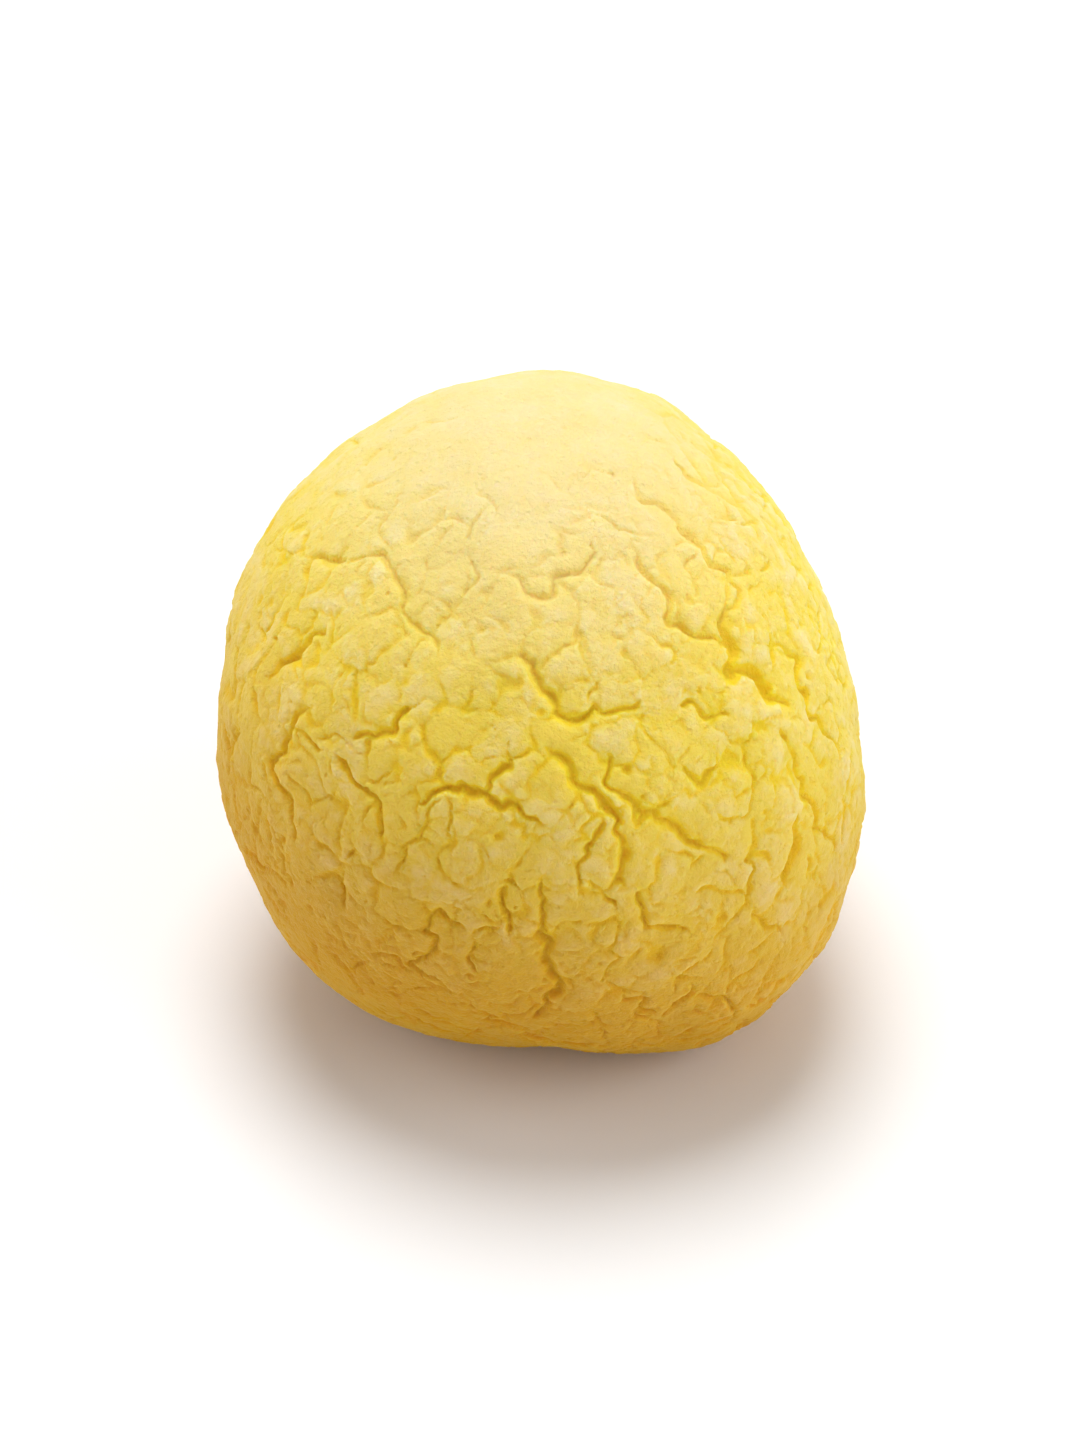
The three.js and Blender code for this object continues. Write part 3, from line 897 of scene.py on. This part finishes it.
def floor_material(stage):
    """A pale matt floor with a very faint unevenness."""
    material = bpy.data.materials.new("pale_floor")
    material.use_nodes = True
    tree = material.node_tree
    coordinates = add_node(tree, "ShaderNodeTexCoord", (-900, 100)).outputs["Object"]
    detail = {"Vector": coordinates, "Scale": 6.0, "Detail": 2.0}
    clouds = add_node(tree, "ShaderNodeTexNoise", (-700, 100), "clouds", detail).outputs["Fac"]
    pale = (*stage.floor_color, 1)
    shaded = (*[FLOOR_SHADE * value for value in stage.floor_color], 1)
    shader = tree.nodes["Principled BSDF"]
    shader.inputs["Roughness"].default_value = 0.6
    colour = mixed(tree, (-350, 200), "faint patches", clouds, pale, shaded)
    tree.links.new(colour, shader.inputs["Base Color"])
    return material


# The stage


def add_floor(stage):
    """A level floor at the height of the flat spot."""
    half = FLOOR_HALF_WIDTH
    mesh = bpy.data.meshes.new("floor")
    corners = [(-half, -half, 0), (half, -half, 0), (half, half, 0), (-half, half, 0)]
    mesh.from_pydata(corners, [], [(0, 1, 2, 3)])
    mesh.materials.append(floor_material(stage))
    floor = bpy.data.objects.new("floor", mesh)
    bpy.context.scene.collection.objects.link(floor)


def add_lights():
    """Far white lights all round, each spread over an angle so that it is soft."""
    for name, (toward, spread, strength) in LIGHTS.items():
        light = bpy.data.lights.new(name, "SUN")
        light.angle = math.radians(spread)
        light.energy = strength
        lamp = bpy.data.objects.new(name, light)
        lamp.rotation_euler = Vector(toward).to_track_quat("Z", "Y").to_euler()
        bpy.context.scene.collection.objects.link(lamp)


def add_surroundings():
    """White surroundings that are brightest at the horizon."""
    world = bpy.data.worlds.new("surroundings")
    bpy.context.scene.world = world
    world.use_nodes = True
    tree = world.node_tree
    direction = add_node(tree, "ShaderNodeTexCoord", (-800, 0)).outputs["Generated"]
    upward = add_node(tree, "ShaderNodeSeparateXYZ", (-600, 0), inputs={0: direction}).outputs["Z"]
    band = (0, SKY_LOW_END)
    strength = ranged(tree, (-400, 0), "bright horizon", upward, band, (SKY_LOW, SKY_HIGH), smooth=True)
    sky = tree.nodes["Background"]
    sky.inputs["Color"].default_value = (1, 1, 1, 1)
    tree.links.new(strength, sky.inputs["Strength"])


def add_camera(stage):
    """The camera in front of the ball and above it, with the lens that its distance needs."""
    camera = bpy.data.objects.new("camera", bpy.data.cameras.new("camera"))
    middle = Vector(MIDDLE * MM)
    back = Vector((0, -math.cos(stage.elevation), math.sin(stage.elevation)))
    camera.location = middle + stage.distance * back
    camera.rotation_euler = (-back).to_track_quat("-Z", "Y").to_euler()
    picture_width = 2 * BALL_RADIUS * MM / stage.ball_share
    picture_height = picture_width * PICTURE_SIZE[1] / PICTURE_SIZE[0]
    camera.data.lens = camera.data.sensor_width * stage.distance / picture_height
    camera.data.clip_start = NEAREST_SEEN
    bpy.context.scene.collection.objects.link(camera)
    bpy.context.scene.camera = camera


# Operators and the panel


class RAJBHOG_OT_ball(Operator):
    """Make the ball with its crazed skin"""

    bl_idname = "rajbhog.ball"
    bl_label = "Ball"

    def execute(self, context):
        skin = in_mm(context.scene.rajbhog_skin)
        mesh, places, values = carved_skin(skin)
        mesh = thinned(mesh, skin)
        add_values(mesh, places, values)
        mesh.polygons.foreach_set("use_smooth", [True] * len(mesh.polygons))
        mesh.name = "crazed_ball"
        mesh.materials.append(curd_material(context.scene.rajbhog_curd))
        ball = bpy.data.objects.new("crazed_ball", mesh)
        context.scene.collection.objects.link(ball)
        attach(ball, "root")
        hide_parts(BALL)
        return {"FINISHED"}


class RAJBHOG_OT_stage(Operator):
    """Set up the floor, the light and the camera"""

    bl_idname = "rajbhog.stage"
    bl_label = "Stage"

    def execute(self, context):
        stage = context.scene.rajbhog_stage
        add_floor(stage)
        add_lights()
        add_surroundings()
        add_camera(stage)
        context.scene.view_settings.view_transform = "Standard"
        return {"FINISHED"}


class RAJBHOG_PT_panel(Panel):
    """What this add-on makes, and its sizes and colours"""

    bl_label = "Rajbhog"
    bl_idname = "RAJBHOG_PT_panel"
    bl_space_type = "VIEW_3D"
    bl_region_type = "UI"
    bl_category = "Rajbhog"

    def draw(self, context):
        layout = self.layout
        for group in (context.scene.rajbhog_skin, context.scene.rajbhog_curd, context.scene.rajbhog_stage):
            column = layout.column()
            for name in group.__annotations__:
                column.prop(group, name)
        for operator in (RAJBHOG_OT_ball, RAJBHOG_OT_stage):
            layout.operator(operator.bl_idname)


CLASSES = (RajbhogSkin, RajbhogCurd, RajbhogStage, RAJBHOG_OT_ball, RAJBHOG_OT_stage, RAJBHOG_PT_panel)


def register():
    for made in CLASSES:
        bpy.utils.register_class(made)
    bpy.types.Scene.rajbhog_skin = PointerProperty(type=RajbhogSkin)
    bpy.types.Scene.rajbhog_curd = PointerProperty(type=RajbhogCurd)
    bpy.types.Scene.rajbhog_stage = PointerProperty(type=RajbhogStage)


def unregister():
    del bpy.types.Scene.rajbhog_stage
    del bpy.types.Scene.rajbhog_curd
    del bpy.types.Scene.rajbhog_skin
    for made in reversed(CLASSES):
        bpy.utils.unregister_class(made)


def main():
    """Makes everything in order."""
    register()
    bpy.ops.rajbhog.ball()
    bpy.ops.rajbhog.stage()


if __name__ == "__main__":
    main()
